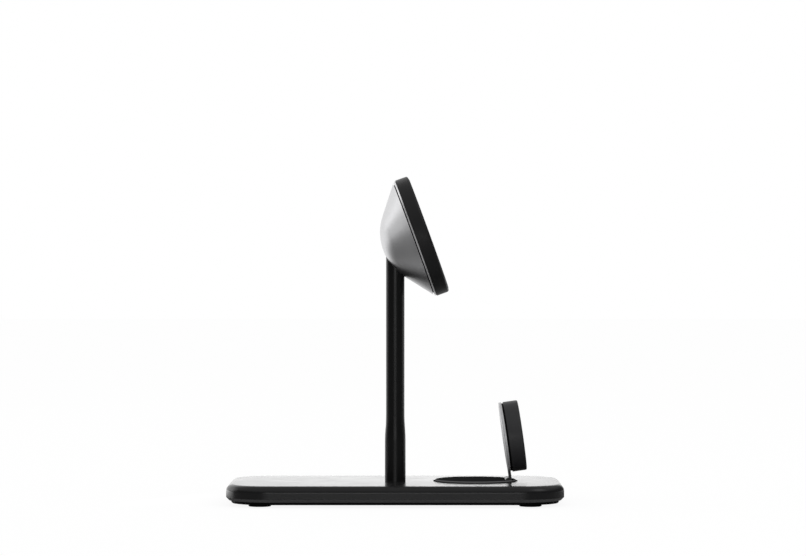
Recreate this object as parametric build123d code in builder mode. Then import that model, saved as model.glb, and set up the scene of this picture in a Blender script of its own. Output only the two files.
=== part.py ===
from build123d import *
import os
from math import cos, radians, sin, sqrt, tan

os.makedirs("parts", exist_ok=True)

# A charging stand in millimetres: base, post, tilted head and folding puck. +X is the side that they face,
# +Z is up, and the origin is on the floor under the middle of the base. Driving dimensions come first.

# Base slab
base_length = 148.0
base_depth = 76.0
base_corner = 19.0
shell_height = 7.0
shell_wall = 2.2
roof_thickness = 1.8
top_round = 3.0
rim_chamfer = 1.3
rim_lift = 1.2
cover_thickness = 1.8
cover_edge = 0.4

# Feet, and the cover screws that they hide
foot_diameter = 9.8
foot_height = 1.2
foot_seat = 0.6
foot_round = 0.4
foot_inset_x = 15.0
foot_inset_y = 13.0
cover_head_radius = 1.9
cover_head_height = 0.6
cover_screw_radius = 1.0
cover_screw_bite = 3.4
screw_post_radius = 3.0

# Inlet and main board
inlet_width = 8.94
inlet_height = 3.16
inlet_sheet = 0.3
inlet_length = 7.4
inlet_recess = 0.4
inlet_rise = 2.6
tongue_width = 6.6
tongue_thickness = 0.7
tongue_recess = 0.8
tongue_block = 1.8
board_length = 13.0
board_side_gap = 1.0
board_thickness = 1.0
board_margin = 0.6
board_screw_inset = 3.8
board_screw_side = 6.0
board_boss_radius = 2.2
board_head_radius = 1.6
board_head_height = 0.7
board_screw_radius = 0.8
board_screw_bite = 1.9
chip_side = 6.0
chip_gap = 0.3
chip_height = 1.0

# Base coil and ballast
base_coil_inset = 36.0
coil_outer = 17.0
coil_inner = 9.0
coil_height = 1.4
ferrite_lap = 0.5
ferrite_height = 0.8
ballast_lift = 1.6
ballast_width = 60.0
ballast_corner = 8.0
ballast_gap = 1.5

# Post
post_radius = 4.1
sleeve_radius = 4.6
sleeve_height = 18.0
taper_height = 11.0
post_rise = 1.0
post_bore = 2.4
spigot_radius = 3.5
nut_width = 11.0
nut_height = 2.0
lead_radius = 0.6
lead_lift = 0.15
lead_lap = 3.0
lead_bend = 2.0

# Head
head_tilt = 20.0
head_reach = 8.73
head_height = 117.0
head_radius = 27.2
dome_depth = 15.0
cone_angle = 38.0
dome_wall = 1.5
rim_land = 2.6
trim_width = 0.6
trim_bevel = 0.5
groove_width = 0.5
groove_depth = 0.8
seam = 0.35
cup_depth = 6.05
cup_floor = 1.2
cup_wall = 2.2
cup_round = 1.0
pad_ledge = 1.0
pad_thickness = 1.2
pad_proud = 0.2
pad_round = 0.3
flange_thickness = 1.2
saddle_width = 11.0
saddle_low = -6.0
saddle_high = 5.0
saddle_depth = 6.5
post_screw_spread = 5.0
post_screw_radius = 1.0
post_screw_bite = 1.0
flat_head_radius = 1.9
flat_head_height = 0.6
head_screw_inset = 4.0
head_screw_radius = 0.95
head_boss_radius = 2.6
head_screw_count = 3
head_screw_bite = 1.2
head_board_width = 20.0
head_board_rise = 3.6
head_board_gap = 0.5
head_chip_side = 3.6
head_chip_spread = 13.0
lead_inset = 1.1
head_ferrite_gap = 0.5
head_ferrite_height = 1.2
head_coil_inset = 0.8
head_coil_inner = 10.0
magnet_width = 3.2
pad_clear = 0.25
magnet_gap = 0.6
magnet_count = 16

# Folding puck and its seat
puck_tilt = 8.0
hinge_inset = 24.1
hinge_lift = 0.5
seat_reach = 14.3
seat_radius = 18.7
seat_height = 0.8
seat_slope = 1.2
seat_edge = 0.15
fold_gap = 0.4
knuckle_radius = 1.2
pin_radius = 0.55
ear_width = 2.2
washer_thickness = 0.2
washer_radius = 1.05
bracket_left = 6.0
bracket_right = 5.0
bracket_width = 22.0
bracket_thickness = 1.6
hinge_screw_spread = 18.0
hinge_screw_bite = 1.3
arm_width = 9.0
arm_thickness = 1.1
arm_top = 2.0
arm_screws_up = (-2.0, -8.0)
arm_head_radius = 1.6
arm_screw_radius = 0.8
arm_screw_bite = 0.8
stem_height = 3.25
puck_radius = 15.6
puck_depth = 7.3
puck_floor = 1.0
puck_wall = 2.0
puck_edge = 0.6
cap_round = 0.5
face_ledge = 0.8
face_thickness = 1.8
face_dish = 0.8
face_lip = 0.9
puck_ferrite_height = 1.0
puck_coil_inner = 6.0
puck_magnet_radius = 4.8
puck_clear = 0.3

# Clearances
slip_gap = 0.1
screw_gap = 0.05
seat_gap = 0.02
pin_gap = 0.03
swing_gap = 0.4

# Levels of the base
cover_bottom = foot_height
cover_top = cover_bottom + cover_thickness
rim_z = foot_height + rim_lift
base_top = rim_z + shell_height
roof_z = base_top - roof_thickness
cover_inset = shell_wall + slip_gap
foot_x = base_length / 2 - foot_inset_x
foot_y = base_depth / 2 - foot_inset_y
foot_points = [(x, y) for x in (-foot_x, foot_x) for y in (-foot_y, foot_y)]
screw_seat_z = cover_bottom + foot_seat

# Places of the inlet and the boards
inlet_x = -base_length / 2 + inlet_recess
inlet_z = rim_z + inlet_rise
inlet_end = inlet_x + inlet_length
board_left = -base_length / 2 + shell_wall + board_margin
board_right = board_left + board_length
board_z = inlet_z - board_thickness / 2
board_top = board_z + board_thickness
board_width = 2 * (foot_y - screw_post_radius - board_side_gap)
board_screw_y = board_width / 2 - board_screw_side
board_points = [(board_right - board_screw_inset, y * board_screw_y) for y in (-1, 1)]
chip_x = inlet_end + chip_gap + chip_side / 2
chip_spread = 2 * (board_screw_y - board_boss_radius - chip_gap) - chip_side
base_coil_x = base_coil_inset - base_length / 2
coil_z = roof_z - coil_height
ballast_z = cover_top + ballast_lift
hinge_x = base_length / 2 - hinge_inset
ballast_left = base_coil_x + coil_outer + ferrite_lap + ballast_gap
ballast_right = hinge_x - bracket_left - ballast_gap
ballast_x = (ballast_left + ballast_right) / 2
post_top = head_height + post_rise
lead_z = cover_top + lead_lift + lead_radius


def leaning(tilt):
    """Directions of a face that leans back: out of the face, and up along it."""
    angle = radians(tilt)
    return Vector(cos(angle), 0, sin(angle)), Vector(-sin(angle), 0, cos(angle))


def discs(plane, points, radius):
    """Round faces of one radius, centred on points of a plane."""
    with BuildSketch(plane) as drawn:
        with Locations(*points):
            Circle(radius)
    return drawn.sketch


def turned(plane, *points):
    """Closed straight-sided profile for turning: distance from the axis, then place along it."""
    with BuildSketch(plane) as drawn:
        with BuildLine():
            Polyline(*points, close=True)
        make_face()
    return drawn.sketch


# The head's own frame: x across, y up the face, z out of the face, from the middle of the trim ring
head_out, head_up = leaning(head_tilt)
head_centre = Vector(head_reach, 0, head_height)
head_face = Plane(origin=head_centre, x_dir=(0, 1, 0), z_dir=head_out)
head_section = Plane(origin=head_centre, x_dir=(0, 1, 0), z_dir=-head_up)
head_axis = Axis(head_centre, head_out)

# Depths in the head, counted from the trim ring: negative towards the dome's nose
trim_front = trim_width / 2
dome_rim = -trim_width / 2 - groove_width
shelf = dome_rim - flange_thickness
floor_front = trim_front + cup_floor
cup_front = trim_front + cup_depth
pad_back = cup_front + pad_proud - pad_thickness
slope = tan(radians(cone_angle))
nose_radius = (head_radius * slope - dome_depth) / (1 / cos(radians(cone_angle)) - 1)
nose_centre = nose_radius - dome_depth
inner_nose = nose_radius - dome_wall
rim_radius = head_radius + dome_rim / slope
bore_radius = rim_radius - rim_land
head_screw_circle = bore_radius - head_screw_inset
shelf_radius = head_radius + shelf / slope - dome_wall / sin(radians(cone_angle))
boss_end = (head_screw_circle + head_boss_radius - head_radius) * slope + dome_wall / 3
head_screw_places = PolarLocations(head_screw_circle, head_screw_count, start_angle=90)
head_screw_points = [tuple(place.position)[:2] for place in head_screw_places]
post_screw_points = [(0, y * post_screw_spread / 2) for y in (-1, 1)]
magnet_outer = head_radius - cup_wall - slip_gap
magnet_inner = magnet_outer - magnet_width
head_ferrite_radius = magnet_inner - head_ferrite_gap
head_coil_back = floor_front + head_ferrite_height
head_board_top = head_screw_circle - head_boss_radius - head_board_gap
head_board_low = saddle_high + head_board_rise
head_board_up = (head_board_low + head_board_top) / 2
lead_up = head_board_low + lead_inset
lead_end = head_centre + head_up * lead_up + head_out * (shelf - board_thickness - slip_gap)
lead_corner = lead_end - head_out * (lead_end.X / head_out.X)


def post_screw_length(point):
    """Length of a saddle screw, from the flange's front to where it has bitten into the post."""
    start = head_face.offset(dome_rim).from_local_coords(point)
    return (start.X - post_radius + post_screw_bite) / head_out.X


# The puck's own frame: x across, y up the puck, z out of its face, from the puck's rear plane
puck_out, puck_up = leaning(puck_tilt)
hinge_z = base_top + hinge_lift
seat_x = hinge_x - seat_reach
puck_reach = puck_radius + stem_height
hinge = Vector(hinge_x, 0, hinge_z)
leaf_lift = seat_height + fold_gap - hinge_lift
puck_centre = hinge + puck_out * leaf_lift + puck_up * puck_reach
puck_plane = Plane(origin=puck_centre, x_dir=(0, 1, 0), z_dir=puck_out)
puck_section = Plane(origin=puck_centre, x_dir=(0, 1, 0), z_dir=-puck_up)
puck_axis = Axis(puck_centre, puck_out)
puck_front = arm_thickness + puck_depth
puck_inside = arm_thickness + puck_floor
face_back = puck_front - face_thickness
puck_coil_back = puck_inside + puck_ferrite_height
puck_coil_height = face_back - puck_clear - puck_coil_back
cavity_radius = puck_radius - puck_wall
face_radius = cavity_radius + face_ledge
dish_radius = face_radius - face_lip
arm_screw_points = [(0, y) for y in arm_screws_up]
washer_start = arm_width / 2 + seat_gap
ear_start = washer_start + washer_thickness + seat_gap
window_left = hinge_x - knuckle_radius - swing_gap
window_right = hinge_x + leaf_lift + arm_thickness + swing_gap
window_x = (window_left + window_right) / 2
window_width = 2 * (ear_start + ear_width + swing_gap)
bracket_z = roof_z - bracket_thickness
bracket_x = hinge_x + (bracket_right - bracket_left) / 2
hinge_points = [(bracket_x, y * hinge_screw_spread / 2) for y in (-1, 1)]

# Base shell, open below, with posts for the cover's screws and bosses for the board
with BuildPart() as base_shell:
    with BuildSketch(Plane.XY.offset(rim_z)):
        RectangleRounded(base_length, base_depth, base_corner)
    extrude(amount=shell_height)
    fillet(base_shell.edges().group_by(Axis.Z)[-1], radius=top_round)
    chamfer(base_shell.edges().group_by(Axis.Z)[0], length=rim_chamfer)
    with BuildSketch(Plane.XY.offset(rim_z)):
        RectangleRounded(base_length - 2 * shell_wall, base_depth - 2 * shell_wall,
                         base_corner - shell_wall)
    extrude(amount=roof_z - rim_z, mode=Mode.SUBTRACT)
    extrude(discs(Plane.XY.offset(cover_top), foot_points, screw_post_radius), amount=roof_z - cover_top)
    cover_pilots = discs(Plane.XY.offset(cover_top), foot_points, cover_screw_radius + screw_gap)
    extrude(cover_pilots, amount=cover_screw_bite + screw_gap, mode=Mode.SUBTRACT)
    extrude(discs(Plane.XY.offset(board_top), board_points, board_boss_radius), amount=roof_z - board_top)
    board_pilots = discs(Plane.XY.offset(board_top), board_points, board_screw_radius + screw_gap)
    extrude(board_pilots, amount=board_screw_bite + screw_gap, mode=Mode.SUBTRACT)
    hinge_pilots = discs(Plane.XY.offset(roof_z), hinge_points, arm_screw_radius + screw_gap)
    extrude(hinge_pilots, amount=hinge_screw_bite + screw_gap, mode=Mode.SUBTRACT)
    with BuildSketch(Plane.XY.offset(roof_z)):
        Circle(spigot_radius + slip_gap)
        with Locations((window_x, 0)):
            Rectangle(window_right - window_left, window_width)
    extrude(amount=roof_thickness, mode=Mode.SUBTRACT)
    with BuildSketch(Plane.YZ.offset(-base_length / 2)):
        with Locations((0, inlet_z)):
            SlotOverall(inlet_width + 2 * slip_gap, inlet_height + 2 * slip_gap)
    extrude(amount=shell_wall, mode=Mode.SUBTRACT)
base_shell.part.label = "base_shell"
export_step(base_shell.part, "parts/base_shell.step")

# Bottom cover, inset in the shell, with a seat for each foot
with BuildPart() as bottom_cover:
    with BuildSketch(Plane.XY.offset(cover_bottom)):
        RectangleRounded(base_length - 2 * cover_inset, base_depth - 2 * cover_inset,
                         base_corner - cover_inset)
    extrude(amount=cover_thickness)
    chamfer(bottom_cover.edges().group_by(Axis.Z)[0], length=cover_edge)
    foot_seats = discs(Plane.XY.offset(cover_bottom), foot_points, foot_diameter / 2 + slip_gap)
    extrude(foot_seats, amount=foot_seat, mode=Mode.SUBTRACT)
    head_seats = discs(Plane.XY.offset(screw_seat_z), foot_points, cover_head_radius + slip_gap)
    extrude(head_seats, amount=cover_head_height, mode=Mode.SUBTRACT)
    screw_holes = discs(Plane.XY.offset(screw_seat_z), foot_points, cover_screw_radius + screw_gap)
    extrude(screw_holes, amount=cover_thickness, mode=Mode.SUBTRACT)
bottom_cover.part.label = "bottom_cover"
export_step(bottom_cover.part, "parts/bottom_cover.step")

# Rubber feet, pushed into the cover's seats
for number, foot_point in enumerate(foot_points, 1):
    with BuildPart() as rubber_foot:
        extrude(discs(Plane.XY, [foot_point], foot_diameter / 2), amount=foot_height + foot_seat)
        fillet(rubber_foot.edges().group_by(Axis.Z)[0], radius=foot_round)
    rubber_foot.part.label = f"rubber_foot_{number}"
    export_step(rubber_foot.part, f"parts/rubber_foot_{number}.step")

# Cover screws, under the feet
with BuildPart() as cover_screws:
    extrude(discs(Plane.XY.offset(screw_seat_z), foot_points, cover_head_radius), amount=cover_head_height)
    extrude(discs(Plane.XY.offset(screw_seat_z), foot_points, cover_screw_radius),
            amount=cover_top + cover_screw_bite - screw_seat_z)
cover_screws.part.label = "cover_screws"
export_step(cover_screws.part, "parts/cover_screws.step")

# Ballast plate under the roof, with a seat for the post's nut
with BuildPart() as ballast_plate:
    with BuildSketch(Plane.XY.offset(ballast_z)):
        with Locations((ballast_x, 0)):
            RectangleRounded(ballast_right - ballast_left, ballast_width, ballast_corner)
    extrude(amount=roof_z - ballast_z)
    with BuildSketch(Plane.XY.offset(ballast_z)):
        Circle(nut_width / sqrt(3) + slip_gap)
    extrude(amount=nut_height, mode=Mode.SUBTRACT)
    with BuildSketch(Plane.XY.offset(ballast_z)):
        Circle(spigot_radius + slip_gap)
    extrude(amount=roof_z - ballast_z, mode=Mode.SUBTRACT)
ballast_plate.part.label = "ballast_plate"
export_step(ballast_plate.part, "parts/ballast_plate.step")

# Main board with a notch for the inlet, and two chips
with BuildPart() as main_board:
    with BuildSketch(Plane.XY.offset(board_z)):
        with Locations(((board_left + board_right) / 2, 0)):
            Rectangle(board_length, board_width)
        with Locations((inlet_end, 0)):
            notch_length = 2 * (inlet_end - board_left)
            Rectangle(notch_length, inlet_width + 2 * slip_gap, mode=Mode.SUBTRACT)
    extrude(amount=board_thickness)
    extrude(discs(Plane.XY.offset(board_z), board_points, board_screw_radius + screw_gap),
            amount=board_thickness, mode=Mode.SUBTRACT)
    with BuildSketch(Plane.XY.offset(board_top)):
        with GridLocations(0, chip_spread, 1, 2):
            with Locations((chip_x, 0)):
                Rectangle(chip_side, chip_side)
    extrude(amount=chip_height)
main_board.part.label = "main_board"
export_step(main_board.part, "parts/main_board.step")

# Board screws, from below into the bosses
with BuildPart() as board_screws:
    extrude(discs(Plane.XY.offset(board_z), board_points, board_head_radius), amount=-board_head_height)
    extrude(discs(Plane.XY.offset(board_z), board_points, board_screw_radius),
            amount=board_thickness + board_screw_bite)
board_screws.part.label = "board_screws"
export_step(board_screws.part, "parts/board_screws.step")

# Inlet shell: a rolled sheet sleeve in the end wall
with BuildPart() as power_inlet:
    with BuildSketch(Plane.YZ.offset(inlet_x)):
        with Locations((0, inlet_z)):
            SlotOverall(inlet_width, inlet_height)
            SlotOverall(inlet_width - 2 * inlet_sheet, inlet_height - 2 * inlet_sheet, mode=Mode.SUBTRACT)
    extrude(amount=inlet_length)
power_inlet.part.label = "power_inlet"
export_step(power_inlet.part, "parts/power_inlet.step")

# Inlet tongue on its block at the back of the sleeve
with BuildPart() as inlet_tongue:
    with BuildSketch(Plane.YZ.offset(inlet_end - tongue_block)):
        with Locations((0, inlet_z)):
            sleeve_gap = 2 * (inlet_sheet + seat_gap)
            SlotOverall(inlet_width - sleeve_gap, inlet_height - sleeve_gap)
    extrude(amount=tongue_block)
    with BuildSketch(Plane.YZ.offset(inlet_x + tongue_recess)):
        with Locations((0, inlet_z)):
            Rectangle(tongue_width, tongue_thickness)
    extrude(amount=inlet_length - tongue_recess - tongue_block)
inlet_tongue.part.label = "inlet_tongue"
export_step(inlet_tongue.part, "parts/inlet_tongue.step")

# Base coil, under the roof
with BuildPart() as base_coil:
    with BuildSketch(Plane.XY.offset(coil_z)):
        with Locations((base_coil_x, 0)):
            Circle(coil_outer)
            Circle(coil_inner, mode=Mode.SUBTRACT)
    extrude(amount=coil_height)
base_coil.part.label = "base_coil"
export_step(base_coil.part, "parts/base_coil.step")

# Ferrite shield below that coil
with BuildPart() as base_ferrite:
    extrude(discs(Plane.XY.offset(coil_z), [(base_coil_x, 0)], coil_outer + ferrite_lap),
            amount=-ferrite_height)
base_ferrite.part.label = "base_ferrite"
export_step(base_ferrite.part, "parts/base_ferrite.step")

# Post: a turned tube with a wider foot that runs smoothly into the upper part, and a spigot below
with BuildPart() as post:
    with BuildSketch(Plane.XZ):
        with BuildLine():
            sleeve_top = base_top + sleeve_height
            taper_top = sleeve_top + taper_height
            Polyline((post_bore, post_top), (post_bore, ballast_z), (spigot_radius, ballast_z),
                     (spigot_radius, base_top), (sleeve_radius, base_top), (sleeve_radius, sleeve_top))
            Spline((sleeve_radius, sleeve_top), (post_radius, taper_top), tangents=((0, 1), (0, 1)))
            Polyline((post_radius, taper_top), (post_radius, post_top), (post_bore, post_top))
        make_face()
    revolve(axis=Axis.Z)
    for screw_point in post_screw_points:
        screw_hole = discs(head_face.offset(dome_rim), [screw_point], post_screw_radius + screw_gap)
        extrude(screw_hole, amount=-post_screw_length(screw_point) - screw_gap, mode=Mode.SUBTRACT)
post.part.label = "post"
export_step(post.part, "parts/post.step")

# Flat nut on the spigot, sunk in the ballast plate
with BuildPart() as post_nut:
    with BuildSketch(Plane.XY.offset(ballast_z)):
        RegularPolygon(radius=nut_width / sqrt(3), side_count=6)
        Circle(spigot_radius + seat_gap, mode=Mode.SUBTRACT)
    extrude(amount=nut_height)
post_nut.part.label = "post_nut"
export_step(post_nut.part, "parts/post_nut.step")

# Lead from the main board through the post to the head's board
with BuildPart() as post_lead:
    with BuildLine() as lead_route:
        FilletPolyline((board_right - lead_lap, 0, lead_z), (0, 0, lead_z), lead_corner, lead_end,
                       radius=lead_bend)
    with BuildSketch(Plane(origin=lead_route.line @ 0, z_dir=lead_route.line % 0)):
        Circle(lead_radius)
    sweep()
post_lead.part.label = "post_lead"
export_step(post_lead.part, "parts/post_lead.step")

# Dome: a cone that runs into a round nose, with an inner shelf for the bracket and the post's hole
with BuildPart() as head_dome:
    with BuildSketch(head_section):
        with BuildLine():
            outer = CenterArc((0, nose_centre), nose_radius, -90, cone_angle)
            inner = CenterArc((0, nose_centre), inner_nose, -90, cone_angle)
            Polyline(outer @ 1, (rim_radius, dome_rim), (bore_radius, dome_rim), (bore_radius, shelf),
                     (shelf_radius, shelf), inner @ 1)
            Line(inner @ 0, outer @ 0)
        make_face()
    revolve(axis=head_axis)
    extrude(discs(head_face.offset(boss_end), head_screw_points, head_boss_radius), amount=shelf - boss_end)
    boss_holes = discs(head_face.offset(shelf), head_screw_points, head_screw_radius + screw_gap)
    extrude(boss_holes, amount=-head_screw_bite - screw_gap, mode=Mode.SUBTRACT)
    with BuildSketch(Plane.XY.offset(head_height - head_radius)):
        Circle(post_radius + slip_gap)
    extrude(amount=post_top - head_height + head_radius, mode=Mode.SUBTRACT)
head_dome.part.label = "head_dome"
export_step(head_dome.part, "parts/head_dome.step")

# Bracket: a flange on the dome's shelf and a saddle behind it that takes the post's top
with BuildPart() as head_bracket:
    with BuildSketch(head_face.offset(shelf)):
        with Locations((0, (saddle_low + saddle_high) / 2)):
            Rectangle(saddle_width, saddle_high - saddle_low)
    extrude(amount=-saddle_depth)
    with BuildSketch(Plane.XY.offset(head_height - head_radius)):
        Circle(post_radius + slip_gap)
    extrude(amount=2 * head_radius, mode=Mode.SUBTRACT)
    extrude(discs(head_face.offset(shelf), [(0, 0)], bore_radius - slip_gap), amount=flange_thickness)
    extrude(discs(head_face.offset(shelf), head_screw_points, head_screw_radius + screw_gap),
            amount=flange_thickness, mode=Mode.SUBTRACT)
    extrude(discs(head_face.offset(dome_rim), post_screw_points, flat_head_radius + slip_gap),
            amount=-flat_head_height, mode=Mode.SUBTRACT)
    extrude(discs(head_face.offset(dome_rim), post_screw_points, post_screw_radius + screw_gap),
            amount=-flange_thickness - saddle_depth, mode=Mode.SUBTRACT)
head_bracket.part.label = "head_bracket"
export_step(head_bracket.part, "parts/head_bracket.step")

# Screws through the saddle into the post
with BuildPart() as post_screws:
    extrude(discs(head_face.offset(dome_rim), post_screw_points, flat_head_radius), amount=-flat_head_height)
    for screw_point in post_screw_points:
        shank = discs(head_face.offset(dome_rim), [screw_point], post_screw_radius)
        extrude(shank, amount=-post_screw_length(screw_point))
post_screws.part.label = "post_screws"
export_step(post_screws.part, "parts/post_screws.step")

# Screws that hold cup, bracket and dome together
with BuildPart() as head_screws:
    extrude(discs(head_face.offset(floor_front), head_screw_points, flat_head_radius),
            amount=-flat_head_height)
    extrude(discs(head_face.offset(floor_front), head_screw_points, head_screw_radius),
            amount=shelf - head_screw_bite - floor_front)
head_screws.part.label = "head_screws"
export_step(head_screws.part, "parts/head_screws.step")

# Head board on the back of the flange, with two chips
with BuildPart() as head_board:
    with BuildSketch(head_face.offset(shelf)):
        with Locations((0, head_board_up)):
            Rectangle(head_board_width, head_board_top - head_board_low)
    extrude(amount=-board_thickness)
    with BuildSketch(head_face.offset(shelf - board_thickness)):
        with Locations((0, head_board_up)):
            with GridLocations(head_chip_spread, 0, 2, 1):
                Rectangle(head_chip_side, head_chip_side)
    extrude(amount=-chip_height)
head_board.part.label = "head_board"
export_step(head_board.part, "parts/head_board.step")

# Groove ring: a dark spacer that stands back between the dome and the trim ring
with BuildPart() as groove_ring:
    groove = turned(head_section, (bore_radius, dome_rim), (rim_radius - groove_depth, dome_rim),
                    (rim_radius - groove_depth, -trim_front), (bore_radius, -trim_front))
    revolve(groove, axis=head_axis)
groove_ring.part.label = "groove_ring"
export_step(groove_ring.part, "parts/groove_ring.step")

# Trim ring: a thin bright bevel that carries on the dome's slope
with BuildPart() as trim_ring:
    trim = turned(head_section, (bore_radius, -trim_front), (head_radius - trim_bevel, -trim_front),
                  (head_radius, trim_front), (bore_radius, trim_front))
    revolve(trim, axis=head_axis)
trim_ring.part.label = "trim_ring"
export_step(trim_ring.part, "parts/trim_ring.step")

# Front cup: the black ring of the head, open in front, with a seam behind and feet that reach the flange
with BuildPart() as front_cup:
    pad_radius = head_radius - cup_wall + pad_ledge
    cup = turned(head_section, (0, trim_front), (head_radius - seam, trim_front),
                 (head_radius - seam, trim_front + seam), (head_radius, trim_front + seam),
                 (head_radius, cup_front), (pad_radius, cup_front), (pad_radius, pad_back),
                 (head_radius - cup_wall, pad_back), (head_radius - cup_wall, floor_front), (0, floor_front))
    revolve(cup, axis=head_axis)
    fillet(front_cup.edges().group_by(head_axis)[-1].sort_by(SortBy.RADIUS)[-1], radius=cup_round)
    extrude(discs(head_face.offset(trim_front), head_screw_points, head_boss_radius),
            amount=dome_rim - trim_front)
    extrude(discs(head_face.offset(floor_front), head_screw_points, flat_head_radius + slip_gap),
            amount=-flat_head_height, mode=Mode.SUBTRACT)
    extrude(discs(head_face.offset(floor_front), head_screw_points, head_screw_radius + screw_gap),
            amount=dome_rim - floor_front, mode=Mode.SUBTRACT)
front_cup.part.label = "front_cup"
export_step(front_cup.part, "parts/front_cup.step")

# Face pad, standing a little proud of the cup
with BuildPart() as face_pad:
    extrude(discs(head_face.offset(pad_back), [(0, 0)], pad_radius - slip_gap), amount=pad_thickness)
    fillet(face_pad.edges().sort_by(head_axis)[-1], radius=pad_round)
face_pad.part.label = "face_pad"
export_step(face_pad.part, "parts/face_pad.step")

# Ferrite disc on the cup's floor
with BuildPart() as head_ferrite:
    extrude(discs(head_face.offset(floor_front), [(0, 0)], head_ferrite_radius), amount=head_ferrite_height)
head_ferrite.part.label = "head_ferrite"
export_step(head_ferrite.part, "parts/head_ferrite.step")

# Head coil on the ferrite
with BuildPart() as head_coil:
    with BuildSketch(head_face.offset(head_coil_back)):
        Circle(head_ferrite_radius - head_coil_inset)
        Circle(head_coil_inner, mode=Mode.SUBTRACT)
    extrude(amount=pad_back - pad_clear - head_coil_back)
head_coil.part.label = "head_coil"
export_step(head_coil.part, "parts/head_coil.step")

# Ring of arc magnets around the coil
with BuildPart() as head_magnets:
    with BuildSketch(head_face.offset(floor_front)):
        Circle(magnet_outer)
        Circle(magnet_inner, mode=Mode.SUBTRACT)
        with PolarLocations(magnet_outer - magnet_width / 2, magnet_count):
            Rectangle(2 * magnet_width, magnet_gap, mode=Mode.SUBTRACT)
    extrude(amount=pad_back - pad_clear - floor_front)
head_magnets.part.label = "head_magnets"
export_step(head_magnets.part, "parts/head_magnets.step")

# Seat disc with a sloped edge, cut out for the hinge
with BuildPart() as puck_seat:
    seat_plane = Plane(origin=(seat_x, 0, base_top), x_dir=(1, 0, 0), z_dir=(0, -1, 0))
    seat = turned(seat_plane, (0, 0), (seat_radius, 0), (seat_radius, seat_edge),
                  (seat_radius - seat_slope, seat_height), (0, seat_height))
    revolve(seat, axis=Axis((seat_x, 0, base_top), (0, 0, 1)))
    with BuildSketch(Plane.XY.offset(base_top)):
        with Locations((window_x, 0)):
            Rectangle(window_right - window_left, window_width)
    extrude(amount=seat_height, mode=Mode.SUBTRACT)
puck_seat.part.label = "puck_seat"
export_step(puck_seat.part, "parts/puck_seat.step")

# Hinge bracket: a plate under the roof, with an ear on each side of the arm's knuckle
with BuildPart() as hinge_bracket:
    with BuildSketch(Plane.XY.offset(bracket_z)):
        with Locations((bracket_x, 0)):
            Rectangle(bracket_left + bracket_right, bracket_width)
    extrude(amount=bracket_thickness)
    extrude(discs(Plane.XY.offset(bracket_z), hinge_points, arm_screw_radius + screw_gap),
            amount=bracket_thickness, mode=Mode.SUBTRACT)
    with BuildSketch(Plane.XZ.offset(-ear_start)):
        with Locations((hinge_x, (roof_z + hinge_z) / 2)):
            Rectangle(2 * knuckle_radius, hinge_z - roof_z)
        with Locations((hinge_x, hinge_z)):
            Circle(knuckle_radius)
            Circle(pin_radius + seat_gap, mode=Mode.SUBTRACT)
    extrude(amount=-ear_width)
    mirror(about=Plane.XZ)
hinge_bracket.part.label = "hinge_bracket"
export_step(hinge_bracket.part, "parts/hinge_bracket.step")

# Hinge screws, from below through the plate into the roof
with BuildPart() as hinge_screws:
    extrude(discs(Plane.XY.offset(bracket_z), hinge_points, arm_head_radius), amount=-flat_head_height)
    extrude(discs(Plane.XY.offset(bracket_z), hinge_points, arm_screw_radius),
            amount=bracket_thickness + hinge_screw_bite)
hinge_screws.part.label = "hinge_screws"
export_step(hinge_screws.part, "parts/hinge_screws.step")

# Hinge pin through both ears
with BuildPart() as hinge_pin:
    extrude(discs(Plane.XZ, [(hinge_x, hinge_z)], pin_radius), amount=ear_start + ear_width, both=True)
hinge_pin.part.label = "hinge_pin"
export_step(hinge_pin.part, "parts/hinge_pin.step")

# Friction washers between the knuckle and the ears
with BuildPart() as friction_washers:
    with BuildSketch(Plane.XZ.offset(-washer_start)):
        with Locations((hinge_x, hinge_z)):
            Circle(washer_radius)
            Circle(pin_radius + pin_gap, mode=Mode.SUBTRACT)
    extrude(amount=-washer_thickness)
    mirror(about=Plane.XZ)
friction_washers.part.label = "friction_washers"
export_step(friction_washers.part, "parts/friction_washers.step")

# Arm: a thin leaf with a round end and a rolled knuckle
with BuildPart() as puck_arm:
    with BuildSketch(puck_plane):
        with Locations((0, (arm_top - puck_reach) / 2)):
            Rectangle(arm_width, arm_top + puck_reach)
        with Locations((0, arm_top)):
            Circle(arm_width / 2)
    extrude(amount=arm_thickness)
    extrude(discs(Plane.XZ, [(hinge_x, hinge_z)], knuckle_radius), amount=arm_width / 2, both=True)
    extrude(discs(Plane.XZ, [(hinge_x, hinge_z)], pin_radius + pin_gap), amount=arm_width, both=True,
            mode=Mode.SUBTRACT)
    extrude(discs(puck_plane, arm_screw_points, arm_head_radius + slip_gap), amount=flat_head_height,
            mode=Mode.SUBTRACT)
    extrude(discs(puck_plane, arm_screw_points, arm_screw_radius + screw_gap), amount=arm_thickness,
            mode=Mode.SUBTRACT)
puck_arm.part.label = "puck_arm"
export_step(puck_arm.part, "parts/puck_arm.step")

# Screws through the leaf into the puck's floor
with BuildPart() as arm_screws:
    extrude(discs(puck_plane, arm_screw_points, arm_head_radius), amount=flat_head_height)
    extrude(discs(puck_plane, arm_screw_points, arm_screw_radius), amount=arm_thickness + arm_screw_bite)
arm_screws.part.label = "arm_screws"
export_step(arm_screws.part, "parts/arm_screws.step")

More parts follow.
